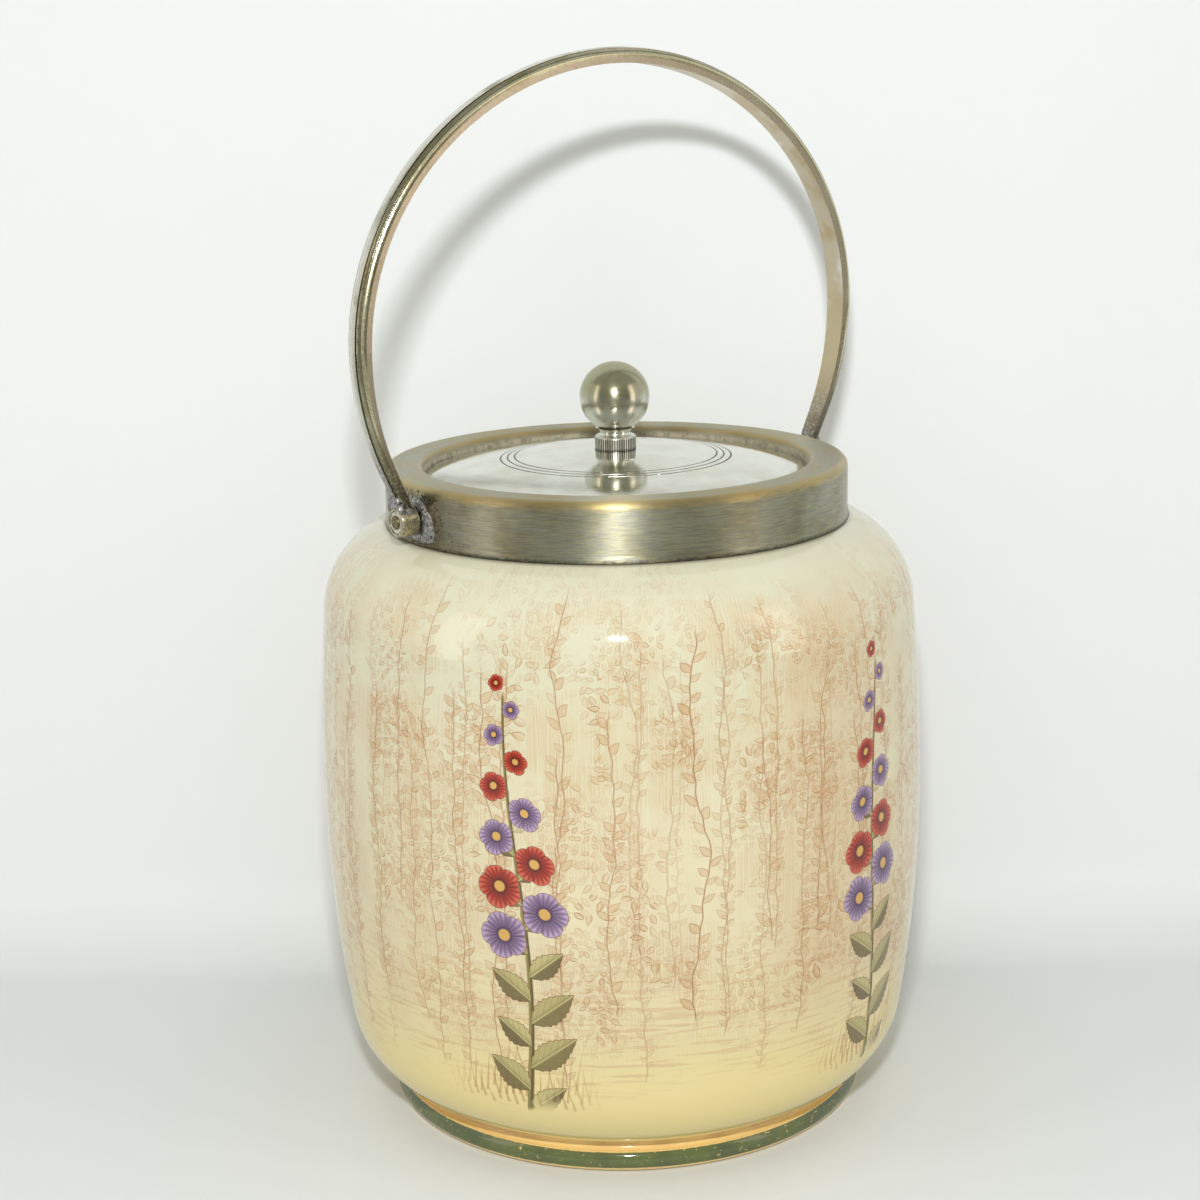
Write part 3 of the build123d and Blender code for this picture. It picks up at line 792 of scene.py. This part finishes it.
def worn_metal(name, skins, roughness, scale):
    """Small plain metal pieces, blotched from a light skin to a dark one."""
    s = Surface(name)
    spots = noise_at(s.place, scale, 4.0, 0.65)
    skin = blend(ramp(spots, 0.42, 0.62), *skins)
    s.set(Base_Color=skin, Metallic=1.0, Roughness=ramp(spots, 0.35, 0.7) * 0.25 + roughness)
    s.bump(spots, 0.05, 0.7)
    return s.material


SOLDER = colour(112, 108, 106), colour(176, 176, 176)
SOLDER_GLINT = colour(236, 238, 240)
PLASTER = colour(222, 214, 196), colour(186, 172, 146)


def solder_metal():
    """Grey lead solder: dull and lumpy, with painted bright glints and soot in its hollows."""
    s = Surface("solder")
    lumps = noise_at(s.place, 0.7, 3.0, 0.6)
    spots = noise_at(s.place, 2.2, 3.0, 0.7)
    skin = blend(ramp(lumps * 0.6 + spots * 0.4, 0.4, 0.62), *SOLDER)
    # Painted glints: bright spots on the solder.
    skin = blend(ramp(spots, 0.58, 0.7) * 0.8, skin, SOLDER_GLINT)
    skin = blend(ramp(lumps * 0.5 + spots * 0.5, 0.46, 0.36) * 0.8, skin, DARK_TARNISH)
    s.set(Base_Color=skin, Metallic=1.0, Roughness=ramp(lumps, 0.35, 0.65) * 0.2 + 0.26)
    s.bump(lumps + spots * 0.25, 0.35, 0.7)
    return s.material


def plaster():
    s = Surface("old_plaster")
    grain = noise_at(s.place, 1.5, 4.0, 0.6)
    skin = blend(ramp(grain, 0.35, 0.65), *PLASTER)
    s.set(Base_Color=skin, Roughness=0.9)
    s.bump(grain, 0.1, 0.6)
    return s.material


def dress(names, material):
    for name in names:
        mesh = nodes[name].data
        mesh.materials.clear()
        mesh.materials.append(material)


def dress_nodes():
    dress(["jar_body"], glazed_pottery())
    dress(["collar"], turned_silver("collar_plate", OLD_SILVER, 0.44, 0.3, 0.88, collar_age))
    dress(["lid_disc"], turned_silver("lid_plate", SILVER, 0.07, 0.08, 0.3, lid_age))
    hidden = turned_silver("hidden_plate", OLD_SILVER, 0.3, 0.6, 0.4)
    dress(["collar_seat_ring", "lid_locating_ring"], hidden)
    dress(["knob_ball"], turned_silver("ball_plate", SILVER, 0.2, 0.15, 0.4, ball_age))
    dress(["knob_neck"], turned_silver("neck_plate", SILVER, 0.22, 0.15, 0.4))
    dress(["knurled_ferrule"], turned_silver("ferrule_plate", SILVER, 0.3, 0.1, 0.3, ferrule_age))
    dress(["handle_strip"], strip_silver())
    knuckle = worn_metal("knuckle_plate", KNUCKLE_PLATE, 0.26, 1.6)
    dress(["left_knuckle", "right_knuckle"], knuckle)
    stud = worn_metal("stud_brass", STUD_BRASS, 0.32, 2.0)
    dress(["left_pivot_stud", "right_pivot_stud", "knob_stud", "knob_nut", "knob_washer"], stud)
    ring = worn_metal("washer_bright", BRIGHT_WASHER, 0.22, 1.6)
    dress(["left_stud_washer", "right_stud_washer"], ring)
    dress(["plaster_bed"], plaster())


# ---- Solder ---------------------------------------------------------------------------
def mesh_object(name, vertices, faces, material, body):
    """A new smooth piece that rides on a body; vertices are in millimetres."""
    mesh = bpy.data.meshes.new(name)
    mesh.from_pydata([Vector(v) * MM for v in vertices], [], faces)
    mesh.materials.append(material)
    mesh.shade_smooth()
    piece = new_object(name, mesh)
    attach(piece, body)


def foot_solder(name, side, material):
    """The solder that runs from the strip's foot down on to the knuckle."""
    around, steps = 40, 9
    climb = 2.6  # how high it creeps up the strip
    spread_x, spread_y = 0.85, 1.25
    waver = 0.28  # depth of the lumps
    vertices, faces = [], []
    for step in range(steps):
        t = step / (steps - 1)
        for i in range(around):
            a = 2 * pi * i / around
            square = max(abs(cos(a)), abs(sin(a))) ** 0.75
            ex, ey = cos(a) / square, sin(a) / square
            lump = noise.noise(Vector((cos(a) * 1.3, sin(a) * 1.3, side * 3.0))) * 0.5 + 0.5
            level = KNUCKLE_RADIUS + climb * (0.7 + 0.5 * lump)
            lean_x = (level - LEG_LEVEL) * sin(LEG_ANGLE) / cos(LEG_ANGLE)
            top = Vector((LEG_X + lean_x + ex * FOOT_HALF_THICK, ey * FOOT_HALF_WIDE, level))
            low_x = LEG_X + 0.25 + ex * (FOOT_HALF_THICK + spread_x)
            low_y = ey * (FOOT_HALF_WIDE + spread_y * (0.6 + 0.5 * lump)) * 0.86
            low = Vector((low_x, low_y, sqrt(max(KNUCKLE_RADIUS**2 - low_y**2, 0.1)) - 0.12))
            sag = t**0.55
            point = top.lerp(low, t)
            point.z = top.z + (low.z - top.z) * sag
            rough = noise.noise(point * 1.4 + Vector((side * 9.0, 0, 0))) * waver * sin(pi * t)
            point += Vector((ex, ey, 0.4)).normalized() * rough
            vertices.append((side * point.x, point.y, PIVOT_HEIGHT + point.z))
    for step in range(steps - 1):
        for i in range(around):
            j = (i + 1) % around
            this, following = step * around, (step + 1) * around
            quad = (this + i, this + j, following + j, following + i)
            faces.append(quad if side > 0 else quad[::-1])
    last = (steps - 1) * around
    first_ring, last_ring = tuple(range(around)), tuple(range(last, last + around))
    faces += [first_ring[::-1], last_ring] if side > 0 else [first_ring, last_ring[::-1]]
    mesh_object(name, vertices, faces, material, "handle")


SOLDER_HIGH, SOLDER_LOW = 5.3, -5.2  # how far it may run up and down the band from the pivot
LOW_FRONT = radians(-125)  # towards the band's foot and the front


def pad_solder(name, side, material):
    """The solder that runs from the pivot's pad out over the collar's band."""
    around, steps = 56, 10
    vertices, faces = [], []
    for step in range(steps):
        t = step / (steps - 1)
        for i in range(around):
            a = 2 * pi * i / around
            lump = noise.noise(Vector((cos(a) * 1.7, sin(a) * 1.7, side * 5.0 + 1.0))) * 0.5 + 0.5
            low_front = max(0.0, cos(a - LOW_FRONT))
            reach = 0.5 + 1.6 * lump**2 + 3.2 * low_front**1.5
            out = PAD_RADIUS - 0.25 + (reach + 0.25) * t
            y = cos(a) * out
            z = max(min(sin(a) * out, SOLDER_HIGH), SOLDER_LOW)
            ground = sqrt(COLLAR_RADIUS**2 - y**2)
            thick = (PAD_FACE - COLLAR_RADIUS - 0.12) * (1 - t) ** 1.6
            rough = noise.noise(Vector((y, z, side * 4.0)) * 1.5) * 0.16 * (1 - t) * (t > 0)
            x = ground + thick + rough - 0.06 * t
            vertices.append((side * x, y, PIVOT_HEIGHT + z))
    for step in range(steps - 1):
        for i in range(around):
            j = (i + 1) % around
            this, following = step * around, (step + 1) * around
            quad = (this + i, following + i, following + j, this + j)
            faces.append(quad if side > 0 else quad[::-1])
    mesh_object(name, vertices, faces, material, "jar")


def make_solder():
    material = solder_metal()
    dress(["left_pivot_pad", "right_pivot_pad"], material)
    for name, side in (("left", -1), ("right", 1)):
        foot_solder(f"{name}_foot_solder", side, material)
        pad_solder(f"{name}_pad_solder", side, material)


# ---- Stage and lights -----------------------------------------------------------------
# The floor's paper is painted darker than the wall's, as painted shade.
SHADED_FLOOR_PAPER, PAPER_WALL = (0.72, 0.75, 0.76), (0.84, 0.87, 0.89)


def stage_material():
    """Pale paper, painted darker on the floor as shade, that is clear from behind and inside the
    foot ring.
    """
    s = Surface("pale_paper")
    s.set(Base_Color=blend(ramp(s.z, 0.0, 24.0), SHADED_FLOOR_PAPER, PAPER_WALL), Roughness=0.85)
    s.bump(noise_at(s.place, 0.8, 3.0), 0.05, 0.3)
    tree = s.tree
    facing = tree.nodes.new("ShaderNodeNewGeometry")
    clear = tree.nodes.new("ShaderNodeBsdfTransparent")
    mix = tree.nodes.new("ShaderNodeMixShader")
    under_jar = (s.radius < FOOT_FACE_OUTER - 0.2) * (s.z < 5.0)
    plug(mix.inputs[0], greater(Field(facing.outputs["Backfacing"]), under_jar))
    tree.links.new(s.shader.outputs[0], mix.inputs[1])
    tree.links.new(clear.outputs[0], mix.inputs[2])
    tree.links.new(mix.outputs[0], tree.nodes["Material Output"].inputs["Surface"])
    return s.material


def make_stage():
    """A sheet of pale paper under the jar that turns up into a wall behind it, and a table beyond.

    The paper is clear from behind and inside the foot ring, so the other views see the jar.
    """
    front, back, bend, top, half = -0.42, 0.084, 0.023, 0.75, 0.8
    profile = [(front, 0.0)]
    steps = 24
    for i in range(steps + 1):
        a = pi / 2 * i / steps
        profile.append((back - bend + bend * sin(a), bend - bend * cos(a)))
    profile.append((back, top))
    vertices = [turned(x, y, z) for x in (-half, half) for y, z in profile]
    count = len(profile)
    faces = [(i, i + count, i + count + 1, i + 1) for i in range(count - 1)]
    mesh = bpy.data.meshes.new("backdrop")
    mesh.from_pydata(vertices, [], faces)
    mesh.materials.append(stage_material())
    mesh.shade_smooth()
    backdrop = new_object("backdrop", mesh)

    near, far, low = back - bend, 0.95, -0.0005
    outline = (-half, near), (half, near), (half, far), (-half, far)
    mesh = bpy.data.meshes.new("table")
    mesh.from_pydata([turned(x, y, low) for x, y in outline], [], [(0, 1, 2, 3)])
    mesh.materials.append(backdrop.data.materials[0])
    table = new_object("table", mesh)


AIM = Vector((0, 0, 0.12))  # the middle of the jar


def panel(name, place, size, watts, tint=(1, 1, 1)):
    """A soft lamp that points at the middle of the jar; place is from the camera's side."""
    data = bpy.data.lights.new(name, "AREA")
    data.shape = "RECTANGLE"
    data.size, data.size_y = size
    data.energy = watts
    data.color = tint
    lamp = new_object(name, data)
    lamp.location = turned(*place)
    lamp.visible_camera = False
    lamp.rotation_mode = "QUATERNION"
    lamp.rotation_quaternion = (AIM - lamp.location).to_track_quat("-Z", "Y")
    return lamp


ROOM_LOW, ROOM_HIGH = (0.29, 0.3, 0.255), (0.47, 0.485, 0.45)


def make_world():
    """Pale greenish room light, brighter overhead and darker round the horizon."""
    world = bpy.data.worlds.new("world")
    world.use_nodes = True
    bpy.context.scene.world = world
    tree = world.node_tree
    where = tree.nodes.new("ShaderNodeTexCoord")
    split = tree.nodes.new("ShaderNodeSeparateXYZ")
    tree.links.new(where.outputs["Generated"], split.inputs[0])
    height = Field(split.outputs[2])
    tint = blend(ramp(height, 0.1, 0.75), ROOM_LOW, ROOM_HIGH)
    plug(tree.nodes["Background"].inputs["Color"], tint)


NEUTRAL, WARM = (1, 0.98, 0.96), (1, 0.83, 0.72)


def make_lights():
    """The camera's flash, a pale and a warm panel on each side, and a weak one overhead."""
    panel("flash", (-0.004, -0.56, 0.396), (0.042, 0.02), 2.3)
    for name, side in (("left", -1), ("right", 1)):
        panel(f"{name}_panel", (side * 0.62, -0.12, 0.3), (0.5, 0.5), 0.34, NEUTRAL)
        panel(f"{name}_glow", (side * 0.53, -0.285, 0.3), (0.17, 0.5), 0.38, WARM)
    panel("top_panel", (0.0, -0.1, 0.9), (0.5, 0.35), 0.28).visible_glossy = False


make_camera()
dress_nodes()
make_solder()
make_stage()
make_lights()
make_world()
bpy.context.scene.view_settings.view_transform = "Standard"
